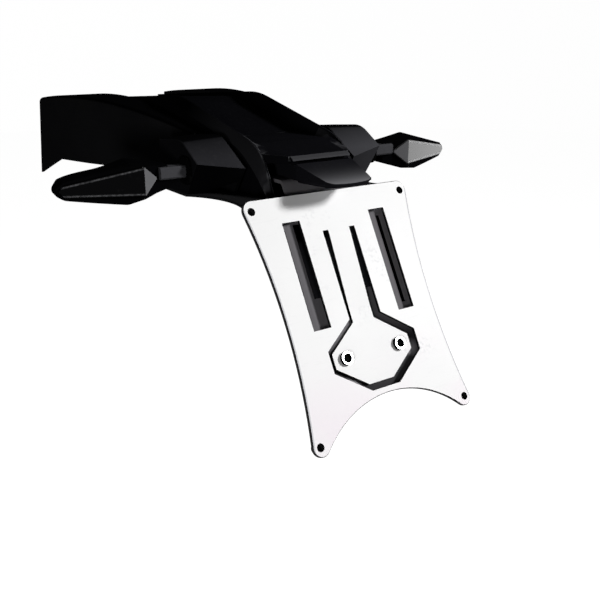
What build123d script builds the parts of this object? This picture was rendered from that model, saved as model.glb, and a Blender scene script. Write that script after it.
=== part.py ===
"""Rear tail of a motorbike with its plate carrier, plate lamp and indicators (millimetres).

X points to the rider's right, Y forward and Z up. The origin is the centre of the four
subframe holes, on the upper face of the mounting bracket. Most places are given as
distances ahead of and above the carrier plate's upper hole row.
"""
import os
from math import cos, radians, sin

from build123d import *

os.makedirs("parts", exist_ok=True)

# Shared stock and clearances
sheet = 3.0
bracket_sheet = 4.0
wall = 2.5
fit_gap = 0.3
bolt_d = 6.0
bolt_hole = 6.6
small_screw_d = 4.0
small_screw_hole = 4.4
pilot_gap = 0.15

# Where the carrier plate hangs, measured from the subframe holes
plate_reach = 265.0
plate_drop = 22.0
plate_lean = 30.0

# Carrier plate outline
plate_corner_half = 88.8
plate_waist_half = 77.5
plate_waist_drop = 100.0
plate_top_margin = 9.5
plate_hole_half = 79.4
plate_hole_rows = 196.0
plate_hole_d = 7.0
plate_arch_web = 5.0
plate_foot_half = 96.0
plate_foot_drop = 238.0
plate_corner_r = 9.0
plate_deburr = 0.6
plate_lobe_r = 8.0
slot_half = 45.6
slot_width = 17.6
slot_length = 93.3
slot_drop = 13.4

# Joggled tongue of the carrier plate
tongue_drop = 25.3
tongue_cut = 5.8
stem_half = 11.2
stem_end_drop = 107.0
paddle_half = 41.2
paddle_top_drop = 128.5
paddle_side = 12.7
paddle_toe = 19.6
paddle_low_drop = paddle_top_drop + paddle_side
paddle_foot_half = 13.2
paddle_foot_drop = paddle_low_drop + paddle_toe
plate_arch_drop = paddle_foot_drop + tongue_cut + plate_arch_web
joggle = 4.3
joggle_start = 4.0
joggle_length = 68.0
plate_screw_half = 28.9
plate_screw_below = 6.2
plate_screw_drop = paddle_top_drop + plate_screw_below

# Folded support behind the carrier plate
rail_inner = 40.0
rail_outer = 62.0
rail_top_drop = 3.0
rail_slot_half = 52.0
rail_slot_width = 6.0
rail_slot_drop = 18.0
rail_slot_length = 82.0
cross_bar = 11.0
pad_drop = 80.0
pad_margin = 7.2
pad_foot_drop = paddle_foot_drop + pad_margin
neck_half = 37.0
bend_r = 5.0
flange_end = 118.0

# Moulded cover behind the support
back_inset = 1.5
back_depth = 12.0
back_wall = 2.0
back_screw_half = 51.0
back_screw_rise = 21.2
back_screw_drop = (9.5, paddle_low_drop - back_screw_rise)
back_bore = 8.0

# Screws and nuts
cap_head_d = 10.0
cap_head_h = 3.0
cap_socket = 5.0
paddle_head_d = 11.9
paddle_socket = 6.8
washer_d = 12.0
washer_t = 1.6
corner_nut_d = 9.0
corner_nut_h = 4.8
corner_nut_cap = 1.2
nut_af = 10.0
nut_h = 5.0
socket_depth = 1.9
thread_end = 2.0
pan_head_d = 7.6
pan_head_h = 2.6
pan_socket = 2.5

# Mounting bracket under the tail
bracket_half = 43.0
bracket_start = 60.0
bracket_end = 356.0
bracket_lip = 10.0
wire_hole_d = 26.0
wire_hole_ahead = 165.0
subframe_x = 60.0
subframe_y = 50.0
support_bolt_half = 22.0
support_bolt_ahead = (72.0, 104.0)
tray_bolt_half = 33.0
tray_bolt_ahead = (138.0, 200.0)
bracket_corner_r = 6.0
boss_half = 32.0
boss_ahead = (160.0, 222.0, 330.0)
boss_d = 10.0
boss_bore = 16.0

# Tail cowl: rims, fins, channel floor and rear deck
crest_half = 46.0
flank_half = 53.0
rim_wall = 2.0
tail_front = 440.0
floor_level = 4.5
rim_peak_ahead = 190.0
rim_peak_up = 78.0
rim_front_up = 59.0
rim_rear_ahead = 78.0
rim_rear_up = 53.0
fin_start = (1, 1)
rim_chamfer = 8.5
rim_hump_r = 120.0
panel_hump_r = 150.0
fin_foot = 18.0
fin_heel = (27.5, 22.0)
fin_knee = (40.0, 38.8)
gusset_knee_up = 48.6
swoosh_heel = (33.4, 19.7)
swoosh_knee = (47.0, 30.0)
panel_rear_ahead = 110.0
panel_rear_up = 44.5
panel_peak_ahead = 232.0
panel_peak_up = 71.0
panel_front_up = 56.0
panel_half = 42.0
panel_t = 3.0
panel_bow = 7.0
deck_knee_ahead = 62.0
deck_knee_half = 38.0
deck_rear_ahead = 17.0
deck_rear_up = 38.2
deck_rear_half = 30.4
lip_reach = 4.5
lip_drop = 1.9
lip_t = 1.6
beak_depth = 13.0

# Pods beside the fins
pod_groove = 6.0
pod_end_half = 100.0
pod_front_ahead = 126.0
pod_root_top = (84.0, 51.5)
pod_root_nose = (42.2, 27.2)
pod_root_heel = 58.0
pod_root_front_up = 48.0
pod_end_top = (82.0, 50.3)
pod_end_nose = (53.0, 33.0)
pod_end_heel = 73.0
pod_end_front_up = 46.0
pod_ridge_r = 30.0
pod_end_r = 2.0
pod_screw_half = 80.0
pod_screw_ahead = (88.0, 113.0)
post_d = 8.0

# Side covers ahead of the pods
cover_front_half = 112.0
cover_mid_half = 94.0
cover_mid_ahead = 290.0
cover_rear_half = 66.0
cover_rear_up = 49.0
cover_crown_ahead = 200.0
cover_crown_up = 62.0
cover_front_up = 62.0
cover_low = 31.0
cover_rake = 20.0
cover_skirt = ((395.0, -6.5), (322.0, -2.5), (215.0, 4.5))
cover_edge_r = 5.0
cover_screw_half = 61.5
cover_screw_ahead = (150.0, 215.0, 285.0)

# Undertray
tray_t = 2.5
tray_rear = 7.2
tray_corner_half = 84.0
tray_waist_half = 81.0
tray_waist_ahead = 27.0
tray_notch_half = 83.0
tray_notch_ahead = 28.0
tray_notch_r = 17.0
tray_pod_ahead = 76.0
tray_front_half = 68.0
tray_end = 300.0
neck_notch_end = 16.5
neck_gap = 1.5
spacer_d = 10.0

# Plate lamp under the deck
hood_reach = 32.0
hood_back = 9.0
hood_back_up = 32.6
hood_front_up = 20.2
hood_back_half = 29.5
hood_front_half = 22.5
hood_corner_r = 9.0
hood_bow = 3.0
hood_undercut = 3.0
hood_low_up = 16.6
hood_plug_half = 26.5
hood_plug_up = 30.6
hood_plug_ahead = 48.0
hood_wall = 2.2
lamp_screw_half = 18.0
lamp_screw_ahead = 38.0
lamp_bore = 10.0
window_half = 20.0
window_front = 22.0
window_back = 5.0
ledge = 1.5
lamp_lens_t = 2.4
lamp_board_up = 25.0
lamp_board_half = 16.0
lamp_board_w = 9.0
lamp_post_half = 10.0
lamp_post_d = 5.0

# Indicators
stalk_ahead = 72.0
stalk_up = 25.7
stalk_w = 14.0
stalk_h = 10.2
stalk_edge = 1.5
stalk_thread_d = 10.0
gasket_t = 4.0
gasket_w = 21.0
gasket_h = 24.0
gasket_r = 8.0
stalk_nut_af = 16.0
stalk_nut_h = 5.0
shell_inner_half = 118.0
shell_inner_up = (12.0, 33.0)
stalk_grip = 9.0
stalk_end_half = shell_inner_half + stalk_grip
crown_reach = 34.0
keel_reach = 39.0
belly_reach = 42.0
shell_crown = (shell_inner_half + crown_reach, 39.0)
shell_keel = (shell_inner_half + keel_reach, 0.8)
shell_belly = (shell_inner_half + belly_reach, 104.0)
shell_sections = ((60.0, 0.8, 0.8), (84.0, 1.0, 1.0), (106.0, 0.6, 1.05))
lens_inner_reach = 8.0
lens_ridge_reach = 25.6
lens_point_reach = 11.5
lens_reach = 87.0
lens_inner = (shell_inner_half + lens_inner_reach, 68.7)
lens_ridge = (shell_inner_half + lens_ridge_reach, 60.0)
lens_point_half = shell_inner_half + lens_point_reach
lens_left_up = 22.7
lens_ridge_up = (10.4, 34.0)
lens_end_half = shell_inner_half + lens_reach
lens_end_up = (12.8, 22.6)
lens_tip_reach = 4.5
lens_tip_up = 18.0
lens_t = 5.0
lens_corner_r = 1.5
lens_ledge = 1.5
lens_rim = 2.0
cavity_depth = 5.0
shell_inner_ahead = (70.0, 86.0)
heel_reach = 12.0
shell_heel = (shell_inner_half + heel_reach, 69.0)
shell_end_reach = 8.5
shell_end_ahead = (80.9, 88.0)
shell_tip_reach = 8.0
shell_tip_up = 18.5
shell_tip_rise = (-8.5, 6.5)
shell_tip_r = 4.0
shell_crown_r = 8.0
shell_shoulder_back = 15.0
shell_shoulder_ahead = 103.0
board_t = 1.6
board_share = 0.6
board_up = 18.3
board_w = 9.0


def at(ahead, up):
    """Side-view point (Y, Z) from its distance ahead of and above the plate's upper holes."""
    return (ahead - plate_reach, up - plate_drop)


def over(half, ahead):
    """Plan-view point (X, Y)."""
    return (half, ahead - plate_reach)


def across(half, up):
    """Rear-view point (X, Z)."""
    return (half, up - plate_drop)


def rear_view(ahead):
    """Upright crosswise plane that faces the rear."""
    return Plane.XZ.offset(plate_reach - ahead)


def level(up):
    """Horizontal plane at a height above the plate's upper holes."""
    return Plane.XY.offset(up - plate_drop)


def side(half):
    """Upright lengthwise plane at a distance right of the centre."""
    return Plane.YZ.offset(half)


def left_of(right_piece):
    """The mirrored twin of a right-hand piece."""
    with BuildPart() as twin:
        mirror(right_piece, about=Plane.YZ)
    return twin.part


def finish(piece, name):
    """Name a finished piece and write it."""
    piece.label = name
    export_step(piece, "parts/" + name + ".step")


lean = radians(plate_lean)
plate_face = Plane(
    origin=(0, -plate_reach, -plate_drop),
    x_dir=(1, 0, 0),
    z_dir=(0, -cos(lean), sin(lean)),
)
plate_side = Plane(
    origin=(0, -plate_reach, -plate_drop),
    x_dir=(0, sin(lean), cos(lean)),
    z_dir=(1, 0, 0),
)
support_depth = joggle + sheet


def down_plate(drop, depth):
    """Side-view point at a drop below the upper holes and a depth behind the front face."""
    back = -drop * sin(lean) + depth * cos(lean)
    up = -drop * cos(lean) - depth * sin(lean)
    return at(back, up)


# Carrier plate: laser-cut sheet whose tongue is pressed back so that its screws sit sunk
def tongue_outline(top_drop):
    """Half of the tongue, as corner points from its root to its foot."""
    return [
        (0, -top_drop),
        (stem_half, -top_drop),
        (stem_half, -stem_end_drop),
        (paddle_half, -paddle_top_drop),
        (paddle_half, -paddle_low_drop),
        (paddle_foot_half, -paddle_foot_drop),
        (0, -paddle_foot_drop),
    ]


with BuildPart() as tongue:
    bend_top = -tongue_drop - joggle_start
    bend_low = bend_top - joggle_length
    reach = -paddle_foot_drop - sheet
    with BuildSketch(plate_side):
        with BuildLine():
            Polyline(
                (-tongue_drop, 0),
                (bend_top, 0),
                (bend_low, -joggle),
                (reach, -joggle),
                (reach, -joggle - sheet),
                (bend_low, -joggle - sheet),
                (bend_top, -sheet),
                (-tongue_drop, -sheet),
                close=True,
            )
        make_face()
    extrude(amount=paddle_half + sheet, both=True)
    with BuildSketch(plate_face):
        with BuildLine():
            Polyline(*tongue_outline(tongue_drop))
            mirror(about=Plane.YZ)
        make_face()
    extrude(amount=joggle + 2 * sheet, both=True, mode=Mode.INTERSECT)

with BuildPart() as carrier_plate:
    with BuildSketch(plate_face) as outline:
        with BuildLine():
            Line((0, plate_top_margin), (plate_corner_half, plate_top_margin))
            ThreePointArc(
                (plate_corner_half, plate_top_margin),
                (plate_waist_half, -plate_waist_drop),
                (plate_foot_half, -plate_foot_drop),
            )
            mirror(about=Plane.YZ)
            ThreePointArc(
                (plate_foot_half, -plate_foot_drop),
                (0, -plate_arch_drop),
                (-plate_foot_half, -plate_foot_drop),
            )
        make_face()
        corners = outline.vertices().sort_by(Axis.Y)
        fillet(corners[-2:], plate_corner_r)
        fillet(outline.vertices().sort_by(Axis.Y)[:2], plate_lobe_r)
        with Locations((0, -plate_hole_rows / 2)):
            with GridLocations(2 * plate_hole_half, plate_hole_rows, 2, 2):
                Circle(plate_hole_d / 2, mode=Mode.SUBTRACT)
        with Locations((0, -slot_drop - slot_length / 2)):
            with GridLocations(2 * slot_half, 0, 2, 1):
                Rectangle(slot_width, slot_length, mode=Mode.SUBTRACT)
    extrude(amount=-sheet)
    white_face = carrier_plate.faces().sort_by(Axis((0, 0, 0), plate_face.z_dir))[-1]
    chamfer(white_face.outer_wire().edges(), plate_deburr)
    with BuildSketch(plate_face):
        with BuildLine():
            Polyline(*tongue_outline(tongue_drop + tongue_cut))
            mirror(about=Plane.YZ)
        make_face()
        offset(amount=tongue_cut, kind=Kind.INTERSECTION)
    extrude(amount=-sheet, mode=Mode.SUBTRACT)
    add(tongue.part)
    with BuildSketch(plate_face):
        with Locations((0, -plate_screw_drop)):
            with GridLocations(2 * plate_screw_half, 0, 2, 1):
                Circle(bolt_hole / 2)
    extrude(amount=-support_depth - sheet, mode=Mode.SUBTRACT)
finish(carrier_plate.part, "carrier_plate")

# Plate support: one folded sheet with slotted rails, a pad for the paddle, a neck and a flange
flange_mid_up = plate_drop - bracket_sheet - sheet / 2
support_mid = support_depth + sheet / 2
neck_joint_drop = -plate_top_margin
bend_drop = -(flange_mid_up + support_mid * sin(lean)) / cos(lean)

with BuildPart() as plate_support:
    with BuildSketch(plate_face.offset(-support_depth)):
        with BuildLine():
            Polyline(
                (0, -neck_joint_drop),
                (neck_half, -neck_joint_drop),
                (neck_half, -rail_top_drop),
                (rail_outer, -rail_top_drop),
                (rail_outer, -paddle_low_drop),
                (neck_half, -pad_foot_drop),
                (0, -pad_foot_drop),
            )
            mirror(about=Plane.YZ)
        make_face()
        window = pad_drop - rail_top_drop - cross_bar
        with Locations((0, -pad_drop + window / 2)):
            Rectangle(2 * rail_inner, window, mode=Mode.SUBTRACT)
        with Locations((0, -rail_slot_drop - rail_slot_length / 2)):
            with GridLocations(2 * rail_slot_half, 0, 2, 1):
                Rectangle(rail_slot_width, rail_slot_length, mode=Mode.SUBTRACT)
        with Locations((0, -plate_screw_drop)):
            with GridLocations(2 * plate_screw_half, 0, 2, 1):
                Circle(bolt_hole / 2, mode=Mode.SUBTRACT)
        for drop in back_screw_drop:
            with Locations((back_screw_half, -drop), (-back_screw_half, -drop)):
                Circle(small_screw_hole / 2, mode=Mode.SUBTRACT)
    extrude(amount=-sheet)
    with BuildSketch(Plane.YZ):
        with BuildLine():
            FilletPolyline(
                down_plate(neck_joint_drop + sheet, support_mid),
                down_plate(bend_drop, support_mid),
                at(flange_end, flange_mid_up),
                radius=bend_r,
            )
        trace(line_width=sheet)
    extrude(amount=neck_half, both=True)
    with BuildSketch(Plane.XY.offset(-bracket_sheet)):
        for ahead in support_bolt_ahead:
            with Locations(over(support_bolt_half, ahead), over(-support_bolt_half, ahead)):
                Circle(bolt_hole / 2)
        with Locations(over(lamp_screw_half, lamp_screw_ahead), over(-lamp_screw_half, lamp_screw_ahead)):
            Circle(small_screw_hole / 2)
    extrude(amount=-2 * sheet, mode=Mode.SUBTRACT)
finish(plate_support.part, "plate_support")


def screws(plane, spots, head_d, head_h, shank_d, shank, socket):
    """Socket screws whose heads stand on a plane and whose shanks run below it."""
    with BuildPart() as group:
        with BuildSketch(plane):
            with Locations(*spots):
                Circle(head_d / 2)
        extrude(amount=head_h)
        with BuildSketch(plane):
            with Locations(*spots):
                Circle(shank_d / 2)
        extrude(amount=-shank)
        with BuildSketch(plane.offset(head_h)):
            with Locations(*spots):
                RegularPolygon(socket / 2, 6, major_radius=False)
        extrude(amount=-socket_depth, mode=Mode.SUBTRACT)
    return group.part


def nuts(plane, spots, across_flats, height, bore):
    """Hexagon nuts that stand on a plane."""
    with BuildPart() as group:
        with BuildSketch(plane):
            with Locations(*spots):
                RegularPolygon(across_flats / 2, 6, major_radius=False)
                Circle(bore / 2, mode=Mode.SUBTRACT)
        extrude(amount=height)
    return group.part


def rings(plane, spots, outer, bore, height):
    """Washers or spacer tubes that stand on a plane."""
    with BuildPart() as group:
        with BuildSketch(plane):
            with Locations(*spots):
                Circle(outer / 2)
                Circle(bore / 2, mode=Mode.SUBTRACT)
        extrude(amount=height)
    return group.part


def both_sides(half, aheads):
    """Plan spots on both sides of the centre at each distance ahead of the plate."""
    return [over(sign * half, ahead) for ahead in aheads for sign in (1, -1)]


def seen_from_below(spots):
    """The same spots on a plane that faces down."""
    return [(x, -y) for x, y in spots]


def below(height):
    """Plane at a frame height that faces down."""
    return Plane(origin=(0, 0, height), x_dir=(1, 0, 0), z_dir=(0, 0, -1))


def behind(depth):
    """Plane behind the plate's front face that faces away from it."""
    return Plane(origin=plate_face.offset(-depth).origin, x_dir=(1, 0, 0), z_dir=-plate_face.z_dir)


nut_bore = bolt_d + 2 * pilot_gap

# Two low-head screws clamp the paddle to the support, with washers and nuts behind
paddle_spots = [(plate_screw_half, -plate_screw_drop), (-plate_screw_half, -plate_screw_drop)]
pad_back = support_depth + sheet
finish(
    screws(
        plate_face.offset(-joggle),
        paddle_spots,
        paddle_head_d,
        cap_head_h,
        bolt_d,
        2 * sheet + washer_t + nut_h + thread_end,
        paddle_socket,
    ),
    "plate_screws",
)
back_spots = seen_from_below(paddle_spots)
finish(rings(behind(pad_back), back_spots, washer_d, bolt_hole, washer_t), "plate_washers")
finish(nuts(behind(pad_back + washer_t), back_spots, nut_af, nut_h, nut_bore), "plate_nuts")

# Closed weld nuts behind the corner holes take the screws of the number plate
corner_spots = [(sign * plate_hole_half, drop) for drop in (0, plate_hole_rows) for sign in (1, -1)]

with BuildPart() as corner_nuts:
    with BuildSketch(behind(sheet)):
        with Locations(*corner_spots):
            Circle(corner_nut_d / 2)
    extrude(amount=corner_nut_h)
    with BuildSketch(behind(sheet)):
        with Locations(*corner_spots):
            Circle(nut_bore / 2)
    extrude(amount=corner_nut_h - corner_nut_cap, mode=Mode.SUBTRACT)
finish(corner_nuts.part, "corner_nuts")

# Back cover: a shallow moulded tray that closes the support from behind, on four posts
back_screw_spots = [(sign * back_screw_half, drop) for drop in back_screw_drop for sign in (1, -1)]

with BuildPart() as back_cover:
    with BuildSketch(behind(pad_back)) as rim:
        with BuildLine():
            Polyline(
                (0, rail_top_drop),
                (rail_outer, rail_top_drop),
                (rail_outer, paddle_low_drop),
                (neck_half, pad_foot_drop),
                (0, pad_foot_drop),
            )
            mirror(about=Plane.YZ)
        make_face()
        offset(amount=-back_inset, kind=Kind.INTERSECTION)
    extrude(amount=back_depth)
    with BuildSketch(behind(pad_back)):
        offset(rim.sketch_local, amount=-back_wall, kind=Kind.INTERSECTION)
    extrude(amount=back_depth - back_wall, mode=Mode.SUBTRACT)
    with BuildSketch(behind(pad_back)):
        with Locations(*back_screw_spots):
            Circle(post_d / 2)
    extrude(amount=back_depth - back_wall / 2)
    with BuildSketch(behind(pad_back)):
        with Locations(*back_screw_spots):
            Circle(small_screw_d / 2 + pilot_gap)
    extrude(amount=back_bore, mode=Mode.SUBTRACT)
finish(back_cover.part, "back_cover")
finish(
    screws(
        plate_face.offset(-support_depth),
        [(half, -drop) for half, drop in back_screw_spots],
        pan_head_d,
        pan_head_h,
        small_screw_d,
        sheet + back_bore - thread_end,
        pan_socket,
    ),
    "back_cover_screws",
)

# Mounting bracket: folded sheet with turned-down edges, which carries everything else
spacer_top = -bracket_sheet
tray_top = floor_level - plate_drop
support_spots = both_sides(support_bolt_half, support_bolt_ahead)
tray_spots = both_sides(tray_bolt_half, tray_bolt_ahead)
boss_spots = both_sides(boss_half, boss_ahead)

with BuildPart() as mount_bracket:
    with BuildSketch():
        with BuildLine():
            Polyline(
                over(neck_half, bracket_start),
                over(neck_half, flange_end),
                over(bracket_half, flange_end + bracket_half - neck_half),
                over(bracket_half, bracket_end),
                over(-bracket_half, bracket_end),
                over(-bracket_half, flange_end + bracket_half - neck_half),
                over(-neck_half, flange_end),
                over(-neck_half, bracket_start),
                close=True,
            )
        make_face()
    extrude(amount=-bracket_sheet)
    fillet(mount_bracket.edges().filter_by(Axis.Z).group_by(Axis.Y)[-1], bracket_corner_r)
    lip_start = flange_end + 2 * (bracket_half - neck_half)
    lip_end = bracket_end - 2 * bracket_corner_r
    with BuildSketch(Plane.XY.offset(-bracket_sheet)):
        lip_centre = over(0, (lip_start + lip_end) / 2)
        with Locations(lip_centre):
            with GridLocations(2 * bracket_half - sheet, 0, 2, 1):
                Rectangle(sheet, lip_end - lip_start)
    extrude(amount=-bracket_lip)
    with BuildSketch():
        with GridLocations(subframe_x, subframe_y, 2, 2):
            Circle(bolt_hole / 2)
        with Locations(*support_spots, *tray_spots):
            Circle(bolt_hole / 2)
        with Locations(*boss_spots):
            Circle(small_screw_hole / 2)
        with Locations(over(0, wire_hole_ahead)):
            Circle(wire_hole_d / 2)
    extrude(amount=-bracket_sheet, mode=Mode.SUBTRACT)
finish(mount_bracket.part, "mount_bracket")

# Four bolts hang the plate support from the bracket
flange_bottom = -bracket_sheet - sheet
finish(
    screws(
        below(flange_bottom),
        seen_from_below(support_spots),
        cap_head_d,
        cap_head_h,
        bolt_d,
        sheet + bracket_sheet + nut_h + thread_end,
        cap_socket,
    ),
    "support_bolts",
)
finish(nuts(Plane.XY, support_spots, nut_af, nut_h, nut_bore), "support_nuts")


# Spine panel: a shallow moulding that drops into the channel between the rims
def panel_height(ahead):
    """Height of the panel's upper surface on its straight rise and fall."""
    if ahead > panel_peak_ahead:
        fall = (panel_peak_up - panel_front_up) / (tail_front - panel_peak_ahead)
        return panel_peak_up - fall * (ahead - panel_peak_ahead)
    rise = (panel_peak_up - panel_rear_up) / (panel_peak_ahead - panel_rear_ahead)
    return panel_rear_up + rise * (ahead - panel_rear_ahead)


def top_line(drop):
    """Side view of the panel's upper surface, lowered by a drop, from the seam to the front."""
    start = panel_rear_ahead - panel_bow
    return [
        at(start, panel_height(start) - drop),
        at(panel_peak_ahead, panel_peak_up - drop),
        at(tail_front, panel_front_up - drop),
    ]


def panel_block(grow, depth, front):
    """Panel body, grown all round in plan, from its upper surface down to a depth."""
    half = panel_half + grow
    seam = panel_rear_ahead - grow
    with BuildPart() as block:
        with BuildSketch(Plane.YZ):
            with BuildLine():
                upper = FilletPolyline(*top_line(0), radius=panel_hump_r)
                lower = FilletPolyline(*top_line(depth), radius=panel_hump_r)
                Line(upper @ 0, lower @ 0)
                Line(upper @ 1, lower @ 1)
            make_face()
        extrude(amount=half, both=True)
        with BuildSketch():
            with BuildLine():
                Polyline(
                    over(half, seam + panel_bow),
                    over(half, front),
                    over(-half, front),
                    over(-half, seam + panel_bow),
                )
                ThreePointArc(over(half, seam + panel_bow), over(0, seam), over(-half, seam + panel_bow))
            make_face()
        extrude(amount=2 * rim_peak_up, both=True, mode=Mode.INTERSECT)
    return block.part


finish(panel_block(0, panel_t, tail_front), "spine_panel")

# Tail cowl: rims that sweep down into fins, with a channel floor and a rear deck between them
deck_inner = crest_half - rim_wall


def blade_face(half, heel, knee, lowered):
    """Side view of a rim and its fin, on the lengthwise plane at a distance from the centre."""
    start = at(fin_foot, floor_level)
    rear = at(rim_rear_ahead, rim_rear_up - lowered)
    rise = (rim_peak_ahead - rim_rear_ahead, rim_peak_up - rim_rear_up)
    with BuildSketch(side(half)) as face:
        with BuildLine():
            Spline(start, at(*heel), at(*knee), rear, tangents=(fin_start, rise))
            top = FilletPolyline(
                rear,
                at(rim_peak_ahead, rim_peak_up - lowered),
                at(tail_front, rim_front_up - lowered),
                radius=rim_hump_r,
            )
            Polyline(top @ 1, at(tail_front, floor_level), start)
        make_face()
    return face.sketch


with BuildPart() as rear_deck:
    with BuildSketch(Plane.YZ):
        with BuildLine():
            Polyline(
                at(panel_rear_ahead, panel_rear_up),
                at(deck_knee_ahead, panel_rear_up),
                at(deck_rear_ahead, deck_rear_up),
                at(deck_rear_ahead, panel_rear_up - beak_depth),
                at(panel_rear_ahead, panel_rear_up - beak_depth),
                close=True,
            )
        make_face()
    extrude(amount=crest_half, both=True)
    with BuildSketch():
        with BuildLine():
            Polyline(
                over(0, deck_rear_ahead),
                over(deck_rear_half, deck_rear_ahead),
                over(deck_knee_half, deck_knee_ahead),
                over(deck_inner, panel_rear_ahead - 2 * panel_bow),
                over(deck_inner, panel_rear_ahead),
                over(0, panel_rear_ahead),
            )
            mirror(about=Plane.YZ)
        make_face()
    extrude(amount=2 * rim_peak_up, both=True, mode=Mode.INTERSECT)
    offset(amount=-wall, openings=rear_deck.faces().sort_by(Axis.Z)[0])
    with BuildSketch(Plane.YZ):
        with BuildLine():
            Polyline(
                at(deck_rear_ahead, deck_rear_up),
                at(deck_rear_ahead - lip_reach, deck_rear_up - lip_drop),
                at(deck_rear_ahead - lip_reach, deck_rear_up - lip_drop - lip_t),
                at(deck_rear_ahead + wall / 2, deck_rear_up - lip_drop - lip_t),
                at(deck_rear_ahead + wall / 2, deck_rear_up),
                close=True,
            )
        make_face()
    extrude(amount=deck_rear_half, both=True)


def deck_edge(ahead):
    """Half width and height of the deck's side edge at a distance ahead."""
    far = (panel_rear_ahead - 2 * panel_bow, deck_inner, panel_rear_up)
    if ahead < deck_knee_ahead:
        far = (deck_rear_ahead, deck_rear_half, deck_rear_up)
    share = (ahead - deck_knee_ahead) / (far[0] - deck_knee_ahead)
    return (
        deck_knee_half + share * (far[1] - deck_knee_half),
        panel_rear_up + share * (far[2] - panel_rear_up),
    )


def gusset_section(ahead, outer, outer_up):
    """Rear view of the sloping web between the deck's edge and a fin."""
    edge, edge_up = deck_edge(ahead)
    inner = edge - wall / 2
    low = panel_rear_up - beak_depth
    with BuildSketch(rear_view(ahead)) as section:
        with BuildLine():
            Polyline(
                across(inner, low),
                across(outer, low),
                across(outer, outer_up),
                across(inner, edge_up),
                close=True,
            )
        make_face()
    return section.sketch


with BuildPart() as deck_gusset:
    fin_middle = crest_half - rim_wall / 2
    loft(
        [
            gusset_section(rim_rear_ahead, fin_middle, rim_rear_up),
            gusset_section(deck_knee_ahead, fin_middle, gusset_knee_up),
            gusset_section(fin_knee[0], fin_middle, fin_knee[1]),
            gusset_section(deck_rear_ahead, deck_rear_half + lip_t, deck_rear_up),
        ],
        ruled=True,
    )

with BuildPart() as tail_cowl:
    extrude(blade_face(crest_half, fin_heel, fin_knee, 0), amount=-rim_wall)
    add(deck_gusset.part)
    loft(
        [
            blade_face(crest_half, fin_heel, fin_knee, 0),
            blade_face(flank_half, swoosh_heel, swoosh_knee, rim_chamfer),
        ]
    )
    with BuildSketch(side(flank_half - wall)):
        with BuildLine():
            hollow = FilletPolyline(
                at(deck_knee_ahead, rim_rear_up - 2 * rim_chamfer),
                at(rim_rear_ahead, rim_rear_up - rim_chamfer - wall),
                at(rim_peak_ahead, rim_peak_up - rim_chamfer - wall),
                at(tail_front, rim_front_up - rim_chamfer - wall),
                radius=rim_chamfer,
            )
            Polyline(hollow @ 1, at(tail_front, 0), at(deck_knee_ahead, 0), hollow @ 0)
        make_face()
    extrude(amount=crest_half - flank_half + wall, mode=Mode.SUBTRACT)
    with BuildSketch(Plane.YZ):
        with BuildLine():
            upper = FilletPolyline(*top_line(0), radius=panel_hump_r)
            lower = FilletPolyline(*top_line(panel_t + fit_gap + wall), radius=panel_hump_r)
            Line(upper @ 0, lower @ 0)
            Line(upper @ 1, lower @ 1)
        make_face()
    extrude(amount=crest_half)
    mirror(about=Plane.YZ)
    add(rear_deck.part)
    add(panel_block(fit_gap, panel_t + fit_gap, tail_front), mode=Mode.SUBTRACT)
    for spot_ahead in boss_ahead:
        with BuildSketch():
            with Locations(over(boss_half, spot_ahead), over(-boss_half, spot_ahead)):
                Circle(boss_d / 2)
        extrude(amount=panel_height(spot_ahead) - panel_t - fit_gap - wall / 2 - plate_drop)
    with BuildSketch():
        with Locations(*boss_spots):
            Circle(small_screw_d / 2 + pilot_gap)
    extrude(amount=boss_bore, mode=Mode.SUBTRACT)
finish(tail_cowl.part, "tail_cowl")
finish(
    screws(
        below(-bracket_sheet),
        seen_from_below(boss_spots),
        pan_head_d,
        pan_head_h,
        small_screw_d,
        bracket_sheet + boss_bore - thread_end,
        pan_socket,
    ),
    "cowl_screws",
)

# Undertray: a flat cover that closes the tail from below, hung on spacers under the bracket;
# its right-hand rear corner is notched
tray_bottom = tray_top - tray_t
pod_spots = both_sides(pod_screw_half, pod_screw_ahead)
cover_spots = both_sides(cover_screw_half, cover_screw_ahead)

with BuildPart() as undertray:
    with BuildSketch(Plane.XY.offset(tray_top)):
        with BuildLine():
            Polyline(
                over(0, neck_notch_end),
                over(neck_half + neck_gap, neck_notch_end),
                over(neck_half + neck_gap, tray_rear),
                over(tray_corner_half, tray_rear),
            )
            ThreePointArc(
                over(tray_corner_half, tray_rear),
                over(tray_waist_half, tray_waist_ahead),
                over(pod_end_half, tray_pod_ahead),
            )
            Polyline(
                over(pod_end_half, tray_pod_ahead),
                over(pod_end_half, pod_front_ahead),
                over(tray_front_half, pod_front_ahead),
                over(tray_front_half, tray_end),
                over(0, tray_end),
            )
            mirror(about=Plane.YZ)
        make_face()
        with Locations(*tray_spots):
            Circle(bolt_hole / 2, mode=Mode.SUBTRACT)
        with Locations(*pod_spots, *cover_spots):
            Circle(small_screw_hole / 2, mode=Mode.SUBTRACT)
        with Locations(over(tray_notch_half, tray_notch_ahead)):
            Circle(tray_notch_r, mode=Mode.SUBTRACT)
    extrude(amount=-tray_t)
finish(undertray.part, "undertray")
spacer_h = spacer_top - tray_top
finish(rings(Plane.XY.offset(tray_top), tray_spots, spacer_d, bolt_hole, spacer_h), "tray_spacers")
finish(
    screws(
        below(tray_bottom),
        seen_from_below(tray_spots),
        cap_head_d,
        cap_head_h,
        bolt_d,
        nut_h + thread_end - tray_bottom,
        cap_socket,
    ),
    "tray_bolts",
)
finish(nuts(Plane.XY, tray_spots, nut_af, nut_h, nut_bore), "tray_nuts")


def tray_screws(spots):
    """Small screws from below the undertray into the bosses of a moulding on it."""
    return screws(
        below(tray_bottom),
        seen_from_below(spots),
        pan_head_d,
        pan_head_h,
        small_screw_d,
        tray_t + boss_bore - thread_end,
        pan_socket,
    )


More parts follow.
